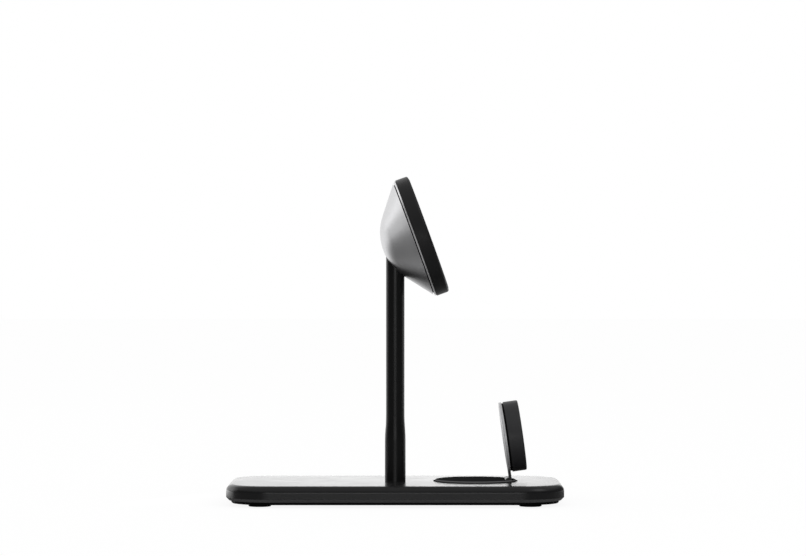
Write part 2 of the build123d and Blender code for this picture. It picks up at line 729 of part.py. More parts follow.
# Rear cap of the puck, in the same layer as the arm, with a slot for it
with BuildPart() as puck_rear_cap:
    extrude(discs(puck_plane, [(0, 0)], puck_radius), amount=arm_thickness)
    fillet(puck_rear_cap.edges().sort_by(puck_axis)[0], radius=cap_round)
    with BuildSketch(puck_plane):
        with Locations((0, (arm_top - puck_reach) / 2)):
            Rectangle(arm_width + 2 * slip_gap, arm_top + puck_reach)
        with Locations((0, arm_top)):
            Circle(arm_width / 2 + slip_gap)
    extrude(amount=arm_thickness, mode=Mode.SUBTRACT)
puck_rear_cap.part.label = "puck_rear_cap"
export_step(puck_rear_cap.part, "parts/puck_rear_cap.step")

# Puck housing: a cup that is open in front, with a ledge for the face and a seam at its back
with BuildPart() as puck_housing:
    housing = turned(puck_section, (0, arm_thickness), (puck_radius - seam, arm_thickness),
                     (puck_radius - seam, arm_thickness + seam), (puck_radius, arm_thickness + seam),
                     (puck_radius, puck_front), (face_radius, puck_front), (face_radius, face_back),
                     (cavity_radius, face_back), (cavity_radius, puck_inside), (0, puck_inside))
    revolve(housing, axis=puck_axis)
    chamfer(puck_housing.edges().group_by(puck_axis)[-1].sort_by(SortBy.RADIUS)[-1], length=puck_edge)
    extrude(discs(puck_plane.offset(arm_thickness), arm_screw_points, arm_screw_radius + screw_gap),
            amount=arm_screw_bite + screw_gap, mode=Mode.SUBTRACT)
puck_housing.part.label = "puck_housing"
export_step(puck_housing.part, "parts/puck_housing.step")

# Dished face of the puck
with BuildPart() as puck_face:
    with BuildSketch(puck_section):
        with BuildLine():
            dish = RadiusArc((0, puck_front - face_dish), (dish_radius, puck_front),
                             -(dish_radius**2 + face_dish**2) / (2 * face_dish))
            Polyline(dish @ 1, (face_radius - slip_gap, puck_front), (face_radius - slip_gap, face_back),
                     (0, face_back), dish @ 0)
        make_face()
    revolve(axis=puck_axis)
puck_face.part.label = "puck_face"
export_step(puck_face.part, "parts/puck_face.step")

# Ferrite, coil and magnet inside the puck
with BuildPart() as puck_ferrite:
    extrude(discs(puck_plane.offset(puck_inside), [(0, 0)], cavity_radius - slip_gap),
            amount=puck_ferrite_height)
puck_ferrite.part.label = "puck_ferrite"
export_step(puck_ferrite.part, "parts/puck_ferrite.step")

with BuildPart() as puck_coil:
    with BuildSketch(puck_plane.offset(puck_coil_back)):
        Circle(cavity_radius - face_ledge)
        Circle(puck_coil_inner, mode=Mode.SUBTRACT)
    extrude(amount=puck_coil_height)
puck_coil.part.label = "puck_coil"
export_step(puck_coil.part, "parts/puck_coil.step")

with BuildPart() as puck_magnet:
    extrude(discs(puck_plane.offset(puck_coil_back), [(0, 0)], puck_magnet_radius), amount=puck_coil_height)
puck_magnet.part.label = "puck_magnet"
export_step(puck_magnet.part, "parts/puck_magnet.step")
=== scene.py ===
from math import cos, pi, radians, sin, sqrt, tan

import bmesh
import bpy
from mathutils import Matrix, Vector


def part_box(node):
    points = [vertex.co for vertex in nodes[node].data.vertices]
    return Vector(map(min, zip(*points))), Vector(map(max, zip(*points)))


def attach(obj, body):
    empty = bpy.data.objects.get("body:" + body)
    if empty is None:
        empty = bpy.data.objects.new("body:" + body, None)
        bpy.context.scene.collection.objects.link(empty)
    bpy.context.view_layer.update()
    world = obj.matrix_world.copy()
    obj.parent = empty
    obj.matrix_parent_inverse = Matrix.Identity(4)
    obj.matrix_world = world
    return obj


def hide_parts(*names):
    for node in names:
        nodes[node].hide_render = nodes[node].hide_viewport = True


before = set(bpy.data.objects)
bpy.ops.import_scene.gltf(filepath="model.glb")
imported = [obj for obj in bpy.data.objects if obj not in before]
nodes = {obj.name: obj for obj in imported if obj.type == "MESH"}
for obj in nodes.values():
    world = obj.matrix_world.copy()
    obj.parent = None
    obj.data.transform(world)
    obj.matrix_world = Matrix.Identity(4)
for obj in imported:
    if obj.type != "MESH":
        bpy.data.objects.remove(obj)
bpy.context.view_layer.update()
scene = bpy.context.scene

# Camera: level, square to the stand's long side, with the picture's own size in pixels
picture_width = 806
focal_pixels = 3000.0
camera_place = (0.00344, -1.333, 0.0995)
sensor_width = 36.0
camera_reach = 100.0

# Studio: a white sweep behind and at the left, dim flags at the right, and soft boxes
floor_size = 12.0
floor_bounce = 0.75
floor_mirrored = 0.22
floor_shade = 0.15
floor_glow = 0.9
floor_back_glow = 0.9
floor_back_start = 0.08
floor_back_end = 0.4
room_level = 0.6
flag_level = 0.06
sweep_level = 0.9
sweep_direction = (-0.42, 0.91, 0.0)
sweep_edge = (0.62, 0.9)
ceiling_level = 0.33
ceiling_edge = (0.15, 0.7)

# Finishes: width of the worn edges, depth of the relief, and the angle from which an edge stays sharp
grained_wear_width = 0.0004
brushed_wear_width = 0.0002
grain_depth = 0.00005
brush_depth = 0.00003
crease_angle = 35.0

# Painted highlights on two slopes, the shell's lower chamfer and the edge of the puck's seat: their faces are
# coloured lighter to stand in for the light they catch
slope_spread = 0.06
chamfer_lean = -0.707
chamfer_heights = (0.0038, 0.0036)
chamfer_highlight_colour = (0.078, 0.078, 0.08)
seat_lean = 0.879
seat_heights = (0.00975, 0.00985)
seat_edge_highlight_colour = (0.15, 0.15, 0.152)

# Head and puck: the same sizes as the solids, in metres
turn_steps = 160
head_tilt = 20.0
head_centre = (0.00873, 0.0, 0.117)
head_radius = 0.0272
dome_depth = 0.015
cone_angle = 38.0
dome_wall = 0.0015
dome_rim = -0.0008
dome_shelf = -0.002
rim_land = 0.0026
post_hole_radius = 0.0042
post_top = 0.118
nose_steps = 40
puck_tilt = 8.0
puck_centre = (0.047969, 0.0, 0.028663)
puck_front = 0.0084
face_back = 0.0066
puck_radius = 0.0156
puck_back = 0.0011
puck_inside = 0.0021
puck_cavity = 0.0136
puck_ledge = 0.0144
puck_edge = 0.0006
seam_width = 0.0009
seam_depth = 0.0005
seam_edge = 0.0001
edge_steps = 6
face_radius = 0.0143
face_dish = 0.0008
face_lip = 0.0008
face_round = 0.00015
dish_steps = 24
arm_screw_ups = (-0.002, -0.008)
screw_head_radius = 0.0016
screw_head_height = 0.0006
screw_radius = 0.0008
screw_length = 0.0019
screw_edge = 0.00012
drive_radius = 0.00085
drive_lobe = 0.00014
drive_lobes = 6
drive_depth = 0.00045
drive_taper = 0.9

# Contacts on the inlet's tongue
tongue_half = 0.00035
contact_count = 12
contact_pitch = 0.0005
contact_size = (0.0034, 0.00028, 0.00003)
contact_start = 0.0002


def add_node(tree, kind, place=(0, 0), **values):
    """One shader node; values go to its settings or, by socket name, to its inputs."""
    node = tree.nodes.new(kind)
    node.location = place
    for key, value in values.items():
        if hasattr(node, key):
            setattr(node, key, value)
        else:
            node.inputs[key.replace("_", " ")].default_value = value
    return node


def new_group(name, inputs, outputs):
    """Empty shader group with named number inputs and outputs, and its two end nodes."""
    tree = bpy.data.node_groups.new(name, "ShaderNodeTree")
    for label, value in inputs.items():
        socket = tree.interface.new_socket(label, in_out="INPUT", socket_type="NodeSocketFloat")
        socket.default_value = value
    for label, kind in outputs.items():
        tree.interface.new_socket(label, in_out="OUTPUT", socket_type=kind)
    start = add_node(tree, "NodeGroupInput", (-900, 0))
    end = add_node(tree, "NodeGroupOutput", (700, 0))
    return tree, start, end


def make_grain_group():
    """Fine moulded or sprayed grain: a height for bump and a soft, large mottling for gloss."""
    tree, start, end = new_group(
        "surface_grain",
        {"Grain Scale": 3000.0, "Mottle Scale": 90.0, "Gloss Low": 0.3, "Gloss High": 0.4},
        {"Height": "NodeSocketFloat", "Gloss": "NodeSocketFloat", "Mottle": "NodeSocketFloat"},
    )
    where = add_node(tree, "ShaderNodeTexCoord", (-900, 300))
    grain = add_node(tree, "ShaderNodeTexNoise", (-500, 200), Detail=4.0, Roughness=0.6)
    mottle = add_node(tree, "ShaderNodeTexNoise", (-500, -100), Detail=3.0, Roughness=0.5)
    spread = add_node(tree, "ShaderNodeMapRange", (100, -100), From_Min=0.3, From_Max=0.7)
    link = tree.links.new
    link(where.outputs["Object"], grain.inputs["Vector"])
    link(where.outputs["Object"], mottle.inputs["Vector"])
    link(start.outputs["Grain Scale"], grain.inputs["Scale"])
    link(start.outputs["Mottle Scale"], mottle.inputs["Scale"])
    link(mottle.outputs["Fac"], spread.inputs["Value"])
    link(start.outputs["Gloss Low"], spread.inputs["To Min"])
    link(start.outputs["Gloss High"], spread.inputs["To Max"])
    link(grain.outputs["Fac"], end.inputs["Height"])
    link(spread.outputs["Result"], end.inputs["Gloss"])
    link(mottle.outputs["Fac"], end.inputs["Mottle"])
    return tree


def make_wear_group():
    """Wear along edges: how far the rounded normal leaves the true one, broken up by a noise."""
    tree, start, end = new_group(
        "edge_wear",
        {"Width": 0.0004, "Breakup": 500.0, "Amount": 0.5},
        {"Mask": "NodeSocketFloat"},
    )
    where = add_node(tree, "ShaderNodeTexCoord", (-900, 300))
    rounded = add_node(tree, "ShaderNodeBevel", (-700, 100), samples=6)
    true_normal = add_node(tree, "ShaderNodeNewGeometry", (-700, -100))
    agree = add_node(tree, "ShaderNodeVectorMath", (-450, 0), operation="DOT_PRODUCT")
    edge = add_node(tree, "ShaderNodeMapRange", (-200, 0), From_Min=0.995, From_Max=0.8)
    noise = add_node(tree, "ShaderNodeTexNoise", (-450, 300), Detail=5.0, Roughness=0.65)
    chips = add_node(tree, "ShaderNodeMapRange", (-200, 300), From_Min=0.4, From_Max=0.65)
    both = add_node(tree, "ShaderNodeMath", (100, 100), operation="MULTIPLY")
    amount = add_node(tree, "ShaderNodeMath", (350, 100), operation="MULTIPLY")
    link = tree.links.new
    link(start.outputs["Width"], rounded.inputs["Radius"])
    link(start.outputs["Breakup"], noise.inputs["Scale"])
    link(where.outputs["Object"], noise.inputs["Vector"])
    link(rounded.outputs["Normal"], agree.inputs[0])
    link(true_normal.outputs["Normal"], agree.inputs[1])
    link(agree.outputs["Value"], edge.inputs["Value"])
    link(noise.outputs["Fac"], chips.inputs["Value"])
    link(edge.outputs["Result"], both.inputs[0])
    link(chips.outputs["Result"], both.inputs[1])
    link(both.outputs["Value"], amount.inputs[0])
    link(start.outputs["Amount"], amount.inputs[1])
    link(amount.outputs["Value"], end.inputs["Mask"])
    return tree


def make_brush_group():
    """Brushed or turned lines along one direction: a height and a spread of gloss."""
    tree, start, end = new_group(
        "brushed_lines",
        {"Fine": 4000.0, "Long": 120.0, "Gloss Low": 0.25, "Gloss High": 0.4},
        {"Height": "NodeSocketFloat", "Gloss": "NodeSocketFloat"},
    )
    where = add_node(tree, "ShaderNodeTexCoord", (-900, 300))
    stretch = add_node(tree, "ShaderNodeCombineXYZ", (-700, -100))
    scaled = add_node(tree, "ShaderNodeVectorMath", (-500, 100), operation="MULTIPLY")
    lines = add_node(tree, "ShaderNodeTexNoise", (-250, 100), Scale=1.0, Detail=3.0)
    spread = add_node(tree, "ShaderNodeMapRange", (100, -100), From_Min=0.3, From_Max=0.7)
    link = tree.links.new
    link(start.outputs["Long"], stretch.inputs["X"])
    link(start.outputs["Fine"], stretch.inputs["Y"])
    link(start.outputs["Fine"], stretch.inputs["Z"])
    link(where.outputs["Object"], scaled.inputs[0])
    link(stretch.outputs["Vector"], scaled.inputs[1])
    link(scaled.outputs["Vector"], lines.inputs["Vector"])
    link(lines.outputs["Fac"], spread.inputs["Value"])
    link(start.outputs["Gloss Low"], spread.inputs["To Min"])
    link(start.outputs["Gloss High"], spread.inputs["To Max"])
    link(lines.outputs["Fac"], end.inputs["Height"])
    link(spread.outputs["Result"], end.inputs["Gloss"])
    return tree


grain_group = make_grain_group()
wear_group = make_wear_group()
brush_group = make_brush_group()


def start_material(name, colour, **shader):
    """Material with a Principled shader; the shader's even values are set on its own sockets."""
    made = bpy.data.materials.new(name)
    made.use_nodes = True
    tree = made.node_tree
    tree.nodes.clear()
    out = add_node(tree, "ShaderNodeOutputMaterial", (900, 0))
    skin = add_node(tree, "ShaderNodeBsdfPrincipled", (600, 0), **shader)
    skin.inputs["Base Color"].default_value = (*colour, 1.0)
    tree.links.new(skin.outputs["BSDF"], out.inputs["Surface"])
    return made, tree, skin


def place_group(tree, group, place, **values):
    """A shader group in a material, with its own values."""
    node = add_node(tree, "ShaderNodeGroup", place, node_tree=group)
    for key, value in values.items():
        node.inputs[key.replace("_", " ")].default_value = value
    return node


def grained(name, colour, gloss, grain, bump, worn, wear, tint=0.06, **shader):
    """A finish with fine grain, mottled gloss and colour, and edges that have rubbed lighter."""
    made, tree, skin = start_material(name, colour, **shader)
    link = tree.links.new
    surface = place_group(tree, grain_group, (-500, -100), Grain_Scale=grain,
                          Gloss_Low=gloss[0], Gloss_High=gloss[1])
    edges = place_group(tree, wear_group, (-500, 300), Width=grained_wear_width, Amount=wear)
    shades = add_node(tree, "ShaderNodeMix", (-200, 200), data_type="RGBA")
    shades.inputs["A"].default_value = (*[c * (1 - tint) for c in colour], 1.0)
    shades.inputs["B"].default_value = (*[min(1.0, c * (1 + tint)) for c in colour], 1.0)
    rubbed = add_node(tree, "ShaderNodeMix", (200, 200), data_type="RGBA")
    rubbed.inputs["B"].default_value = (*worn, 1.0)
    relief = add_node(tree, "ShaderNodeBump", (200, -300), Strength=bump, Distance=grain_depth)
    link(surface.outputs["Mottle"], shades.inputs["Factor"])
    link(shades.outputs["Result"], rubbed.inputs["A"])
    link(edges.outputs["Mask"], rubbed.inputs["Factor"])
    link(rubbed.outputs["Result"], skin.inputs["Base Color"])
    link(surface.outputs["Gloss"], skin.inputs["Roughness"])
    link(surface.outputs["Height"], relief.inputs["Height"])
    link(relief.outputs["Normal"], skin.inputs["Normal"])
    return made


def paint_slope_highlight(made, colour, facing, start, end):
    """Painted highlight: colours the faces of one slope lighter, standing in for the light they catch; how
    they lean, and between which heights.
    """
    tree = made.node_tree
    link = tree.links.new
    skin = tree.nodes["Principled BSDF"]
    painted = skin.inputs["Base Color"].links[0].from_socket
    where = add_node(tree, "ShaderNodeTexCoord", (-500, 700))
    place = add_node(tree, "ShaderNodeSeparateXYZ", (-300, 800))
    lean = add_node(tree, "ShaderNodeSeparateXYZ", (-300, 600))
    reached = add_node(tree, "ShaderNodeMapRange", (-100, 800), From_Min=start, From_Max=end)
    sloped = add_node(tree, "ShaderNodeMath", (-100, 600), operation="COMPARE")
    sloped.inputs[1].default_value = facing
    sloped.inputs[2].default_value = slope_spread
    both = add_node(tree, "ShaderNodeMath", (100, 700), operation="MULTIPLY")
    # Painted highlight colour, mixed onto the chosen slope faces
    painted_highlight_mix = add_node(tree, "ShaderNodeMix", (400, 300), data_type="RGBA")
    painted_highlight_mix.inputs["B"].default_value = (*colour, 1.0)
    link(where.outputs["Object"], place.inputs["Vector"])
    link(where.outputs["Normal"], lean.inputs["Vector"])
    link(place.outputs["Z"], reached.inputs["Value"])
    link(lean.outputs["Z"], sloped.inputs[0])
    link(reached.outputs["Result"], both.inputs[0])
    link(sloped.outputs["Value"], both.inputs[1])
    link(both.outputs["Value"], painted_highlight_mix.inputs["Factor"])
    link(painted, painted_highlight_mix.inputs["A"])
    link(painted_highlight_mix.outputs["Result"], skin.inputs["Base Color"])


def brushed(name, colour, gloss, bump, worn, wear, **shader):
    """A bare or coated metal with fine brushed lines and brighter edges."""
    made, tree, skin = start_material(name, colour, **shader)
    link = tree.links.new
    lines = place_group(tree, brush_group, (-500, -100), Gloss_Low=gloss[0], Gloss_High=gloss[1])
    edges = place_group(tree, wear_group, (-500, 300), Width=brushed_wear_width, Amount=wear)
    rubbed = add_node(tree, "ShaderNodeMix", (200, 200), data_type="RGBA")
    rubbed.inputs["A"].default_value = (*colour, 1.0)
    rubbed.inputs["B"].default_value = (*worn, 1.0)
    relief = add_node(tree, "ShaderNodeBump", (200, -300), Strength=bump, Distance=brush_depth)
    link(edges.outputs["Mask"], rubbed.inputs["Factor"])
    link(rubbed.outputs["Result"], skin.inputs["Base Color"])
    link(lines.outputs["Gloss"], skin.inputs["Roughness"])
    link(lines.outputs["Height"], relief.inputs["Height"])
    link(relief.outputs["Normal"], skin.inputs["Normal"])
    return made


def leaning(origin, tilt):
    """Place of a face that leans back: its own axes are across it, up along it and out of it."""
    turn = Matrix(((0, -sin(radians(tilt)), cos(radians(tilt))), (1, 0, 0),
                   (0, cos(radians(tilt)), sin(radians(tilt)))))
    return Matrix.Translation(origin) @ turn.to_4x4()


def stack_rings(shape, place, rings):
    """Closed skin of rings round an axis: each is a radius, or one radius a step, and a place along it."""
    angles = [2 * pi * step / turn_steps for step in range(turn_steps)]
    rows = []
    for radius, along in rings:
        if radius == 0:
            rows.append([shape.verts.new(place @ Vector((0, 0, along)))] * turn_steps)
            continue
        radii = radius if isinstance(radius, list) else [radius] * turn_steps
        rows.append([shape.verts.new(place @ Vector((r * cos(a), r * sin(a), along)))
                     for r, a in zip(radii, angles)])
    for low, high in zip(rows, rows[1:]):
        for step in range(turn_steps):
            following = (step + 1) % turn_steps
            corners = [low[step], low[following], high[following], high[step]]
            shape.faces.new(list(dict.fromkeys(corners)))


def finish_piece(name, shape, body, made, replaced=None):
    """Turns a built shape into a smooth piece with sharp edges, which rides on a body."""
    bmesh.ops.recalc_face_normals(shape, faces=shape.faces)
    mesh = bpy.data.meshes.new(name)
    shape.to_mesh(mesh)
    shape.free()
    mesh.polygons.foreach_set("use_smooth", [True] * len(mesh.polygons))
    mesh.set_sharp_from_angle(angle=radians(crease_angle))
    mesh.materials.append(made)
    piece = bpy.data.objects.new(name, mesh)
    scene.collection.objects.link(piece)
    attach(piece, body)
    if replaced:
        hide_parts(replaced)
    return piece


def make_dome():
    """The dome as a finely turned shell with a clean nose, and the post's hole cut into it."""
    slope = tan(radians(cone_angle))
    nose = (head_radius * slope - dome_depth) / (1 / cos(radians(cone_angle)) - 1)
    nose_centre = nose - dome_depth
    rim = head_radius + dome_rim / slope
    bore = rim - rim_land
    shelf = head_radius + dome_shelf / slope - dome_wall / sin(radians(cone_angle))
    turns = [radians(cone_angle) * step / nose_steps for step in range(nose_steps + 1)]
    outer = [(nose * sin(turn), nose_centre - nose * cos(turn)) for turn in turns]
    hollow = nose - dome_wall
    inner = [(hollow * sin(turn), nose_centre - hollow * cos(turn)) for turn in reversed(turns)]
    edge = [(rim, dome_rim), (bore, dome_rim), (bore, dome_shelf), (shelf, dome_shelf)]
    shape = bmesh.new()
    stack_rings(shape, leaning(head_centre, head_tilt), outer + edge + inner)
    drill = bmesh.new()
    low = head_centre[2] - head_radius
    bore_rings = [(0, low), (post_hole_radius, low), (post_hole_radius, post_top), (0, post_top)]
    stack_rings(drill, Matrix(), bore_rings)
    bmesh.ops.recalc_face_normals(drill, faces=drill.faces)
    drill_mesh = bpy.data.meshes.new("post_drill")
    drill.to_mesh(drill_mesh)
    drill.free()
    drill_piece = bpy.data.objects.new("post_drill", drill_mesh)
    scene.collection.objects.link(drill_piece)
    dome = finish_piece("head_dome_shell", shape, "stand", dome_metal, replaced="head_dome")
    cut = dome.modifiers.new("post_hole", "BOOLEAN")
    cut.operation = "DIFFERENCE"
    cut.solver = "EXACT"
    cut.object = drill_piece
    bpy.context.view_layer.update()
    cut_mesh = bpy.data.meshes.new_from_object(dome.evaluated_get(bpy.context.evaluated_depsgraph_get()))
    dome.modifiers.remove(cut)
    dome.data = cut_mesh
    cut_mesh.set_sharp_from_angle(angle=radians(crease_angle))
    bpy.data.objects.remove(drill_piece)


def make_puck_face():
    """The puck's dished face as a finely turned disc with a softened lip."""
    dish = face_radius - face_lip
    bowl = (dish**2 + face_dish**2) / (2 * face_dish)
    hollow = [(dish * step / dish_steps) for step in range(dish_steps + 1)]
    rings = [(r, puck_front - face_dish + bowl - sqrt(bowl**2 - r**2)) for r in hollow]
    rings += [(face_radius - face_round, puck_front), (face_radius, puck_front - face_round),
              (face_radius, face_back), (0, face_back)]
    shape = bmesh.new()
    stack_rings(shape, leaning(puck_centre, puck_tilt), rings)
    finish_piece("puck_dished_face", shape, "puck", puck_gloss, replaced="puck_face")


def make_puck_cup():
    """The puck's cup, with a dark seam behind and a softened front edge."""
    neck = puck_radius - seam_depth
    turns = [pi / 2 * step / edge_steps for step in range(edge_steps + 1)]
    edge = [(puck_radius - puck_edge * (1 - cos(turn)), puck_front - puck_edge * (1 - sin(turn)))
            for turn in turns]
    rings = [(0, puck_back), (neck, puck_back), (neck, puck_back + seam_width),
             (puck_radius - seam_edge, puck_back + seam_width),
             (puck_radius, puck_back + seam_width + seam_edge), *edge, (puck_ledge, puck_front),
             (puck_ledge, face_back), (puck_cavity, face_back), (puck_cavity, puck_inside), (0, puck_inside)]
    place = leaning(puck_centre, puck_tilt)
    shape = bmesh.new()
    stack_rings(shape, place, rings)
    cup = finish_piece("puck_cup", shape, "puck", puck_plastic, replaced="puck_housing")
    cup.data.materials.append(cover_plastic)
    seam_end = puck_back + seam_width + seam_edge / 4
    for face in cup.data.polygons:
        face.material_index = int((place.inverted() @ face.center).z < seam_end)


def make_arm_screws():
    """Two flat screws in the arm, each with a softened edge and a six-lobed drive."""
    lobes = [drive_radius + drive_lobe * cos(drive_lobes * 2 * pi * step / turn_steps)
             for step in range(turn_steps)]
    bottom = [drive_taper * r for r in lobes]
    rings = [(0, drive_depth), (bottom, drive_depth), (lobes, 0), (screw_head_radius - screw_edge, 0),
             (screw_head_radius, screw_edge), (screw_head_radius, screw_head_height),
             (screw_radius, screw_head_height), (screw_radius, screw_length), (0, screw_length)]
    shape = bmesh.new()
    for up in arm_screw_ups:
        stack_rings(shape, leaning(puck_centre, puck_tilt) @ Matrix.Translation((0, up, 0)), rings)
    finish_piece("arm_screws_driven", shape, "puck", screw_steel, replaced="arm_screws")


def make_contacts():
    """Rows of plated contacts on both sides of the inlet's tongue."""
    low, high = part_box("inlet_tongue")
    middle = (low[2] + high[2]) / 2
    length, width, height = contact_size
    shape = bmesh.new()
    for side in (-1, 1):
        for number in range(contact_count):
            across = (number - (contact_count - 1) / 2) * contact_pitch
            along = low[0] + contact_start + length / 2
            centre = (along, across, middle + side * (tongue_half + height / 2))
            place = Matrix.LocRotScale(centre, None, contact_size)
            bar = bmesh.ops.create_cube(shape, size=1.0, matrix=place)
            corners = set(bar["verts"])
            edges = [edge for edge in shape.edges if corners.issuperset(edge.verts)]
            bmesh.ops.bevel(shape, geom=edges, offset=height / 3, segments=1, affect="EDGES")
    finish_piece("inlet_contacts", shape, "stand", contact_gold)


def dress(made, *names):
    """Gives a material to the nodes of these names."""
    for name in names:
        for holder in nodes[name].material_slots:
            holder.material = made


# Finishes of the stand, from the base up
shell_paint = grained(
    "shell_satin_black", (0.009, 0.009, 0.0095), gloss=(0.235, 0.255), grain=2600.0, bump=0.008,
    worn=(0.035, 0.035, 0.037), wear=0.5, IOR=1.55)
# Painted highlight: the shell's lower chamfer is coloured lighter for the light it catches
paint_slope_highlight(shell_paint, chamfer_highlight_colour, chamfer_lean, *chamfer_heights)
post_paint = grained(
    "post_satin_black", (0.003, 0.003, 0.0032), gloss=(0.28, 0.32), grain=2600.0, bump=0.008,
    worn=(0.03, 0.03, 0.032), wear=0.35, IOR=1.5)
cover_plastic = grained(
    "cover_matt_black", (0.004, 0.004, 0.0042), gloss=(0.5, 0.62), grain=1800.0, bump=0.3,
    worn=(0.02, 0.02, 0.02), wear=0.3, Specular_IOR_Level=0.12)
cup_plastic = grained(
    "cup_soft_black", (0.0095, 0.0095, 0.01), gloss=(0.4, 0.5), grain=2600.0, bump=0.18,
    worn=(0.05, 0.05, 0.052), wear=0.4)
foot_rubber = grained(
    "foot_rubber", (0.008, 0.008, 0.008), gloss=(0.65, 0.8), grain=1500.0, bump=0.4,
    worn=(0.03, 0.03, 0.03), wear=0.5, Specular_IOR_Level=0.3)
pad_rubber = grained(
    "pad_silicone", (0.028, 0.028, 0.029), gloss=(0.48, 0.6), grain=2200.0, bump=0.3,
    worn=(0.07, 0.07, 0.072), wear=0.4)
seat_rubber = grained(
    "seat_rubber", (0.024, 0.024, 0.0248), gloss=(0.6, 0.72), grain=2000.0, bump=0.4,
    worn=(0.05, 0.05, 0.052), wear=0.4, Specular_IOR_Level=0.0)
# Painted highlight: the upper part of the seat's sloped edge is coloured lighter for the light it catches
paint_slope_highlight(seat_rubber, seat_edge_highlight_colour, seat_lean, *seat_heights)
dome_metal = grained(
    "dome_blasted_silver", (0.72, 0.72, 0.73), gloss=(0.3, 0.36), grain=4500.0, bump=0.1,
    worn=(0.85, 0.85, 0.85), wear=0.3, tint=0.02, Metallic=1.0)
trim_metal = grained(
    "trim_bright_silver", (0.88, 0.88, 0.89), gloss=(0.26, 0.31), grain=5000.0, bump=0.03,
    worn=(0.95, 0.95, 0.95), wear=0.3, tint=0.02, Metallic=0.65)
puck_plastic = grained(
    "puck_satin_grey", (0.035, 0.035, 0.037), gloss=(0.36, 0.46), grain=2600.0, bump=0.15,
    worn=(0.1, 0.1, 0.1), wear=0.4)
puck_metal = grained(
    "puck_satin_silver", (0.75, 0.75, 0.76), gloss=(0.36, 0.44), grain=4500.0, bump=0.08,
    worn=(0.85, 0.85, 0.85), wear=0.3, tint=0.02, Metallic=0.4)
puck_gloss = grained(
    "puck_gloss_black", (0.008, 0.008, 0.009), gloss=(0.08, 0.14), grain=5000.0, bump=0.02,
    worn=(0.03, 0.03, 0.03), wear=0.2, Coat_Weight=0.4, Coat_Roughness=0.05)
plain_steel = brushed(
    "brushed_steel", (0.5, 0.5, 0.51), gloss=(0.28, 0.42), bump=0.3,
    worn=(0.7, 0.7, 0.7), wear=0.4, Metallic=1.0)
dark_steel = brushed(
    "blackened_steel", (0.012, 0.012, 0.013), gloss=(0.3, 0.4), bump=0.2,
    worn=(0.06, 0.06, 0.06), wear=0.5)
screw_steel = brushed(
    "screw_steel", (0.16, 0.16, 0.165), gloss=(0.28, 0.4), bump=0.2,
    worn=(0.4, 0.4, 0.4), wear=0.6, Metallic=1.0)
contact_gold = brushed(
    "contact_gold", (0.8, 0.58, 0.24), gloss=(0.2, 0.32), bump=0.1,
    worn=(0.9, 0.7, 0.35), wear=0.3, Metallic=1.0)
board_mask = grained(
    "board_green", (0.02, 0.13, 0.06), gloss=(0.3, 0.4), grain=900.0, bump=0.3,
    worn=(0.5, 0.4, 0.2), wear=0.2, tint=0.25)
coil_copper = brushed(
    "coil_copper", (0.7, 0.32, 0.16), gloss=(0.3, 0.45), bump=0.6,
    worn=(0.85, 0.5, 0.3), wear=0.4, Metallic=1.0)
ferrite_grey = grained(
    "ferrite_grey", (0.05, 0.05, 0.055), gloss=(0.6, 0.75), grain=1200.0, bump=0.5,
    worn=(0.12, 0.12, 0.12), wear=0.5)
magnet_nickel = brushed(
    "magnet_nickel", (0.62, 0.62, 0.63), gloss=(0.15, 0.25), bump=0.1,
    worn=(0.8, 0.8, 0.8), wear=0.3, Metallic=1.0)

dress(shell_paint, "base_shell")
dress(post_paint, "post")
dress(cover_plastic, "bottom_cover", "inlet_tongue", "head_bracket", "groove_ring", "friction_washers")
dress(cup_plastic, "front_cup")
dress(foot_rubber, "rubber_foot_1", "rubber_foot_2", "rubber_foot_3", "rubber_foot_4")
dress(pad_rubber, "face_pad", "post_lead")
dress(seat_rubber, "puck_seat")
dress(dome_metal, "head_dome")
dress(trim_metal, "trim_ring")
dress(puck_plastic, "puck_housing")
dress(puck_metal, "puck_rear_cap")
dress(puck_gloss, "puck_face")
dress(plain_steel, "cover_screws", "ballast_plate", "board_screws", "power_inlet", "post_nut",
      "post_screws", "head_screws", "hinge_screws")
dress(dark_steel, "hinge_bracket", "hinge_pin", "puck_arm", "arm_screws")
dress(board_mask, "main_board", "head_board")
dress(coil_copper, "base_coil", "head_coil", "puck_coil")
dress(ferrite_grey, "base_ferrite", "head_ferrite", "puck_ferrite")
dress(magnet_nickel, "head_magnets", "puck_magnet")

make_dome()
make_puck_face()
make_puck_cup()
make_arm_screws()
make_contacts()


def make_camera():
    """The picture's camera."""
    lens = bpy.data.cameras.new("picture_camera")
    lens.sensor_width = sensor_width
    lens.lens = focal_pixels / picture_width * sensor_width
    lens.clip_end = camera_reach
    camera = bpy.data.objects.new("picture_camera", lens)
    camera.location = camera_place
    camera.rotation_euler = (radians(90), 0, 0)
    scene.collection.objects.link(camera)
    scene.camera = camera


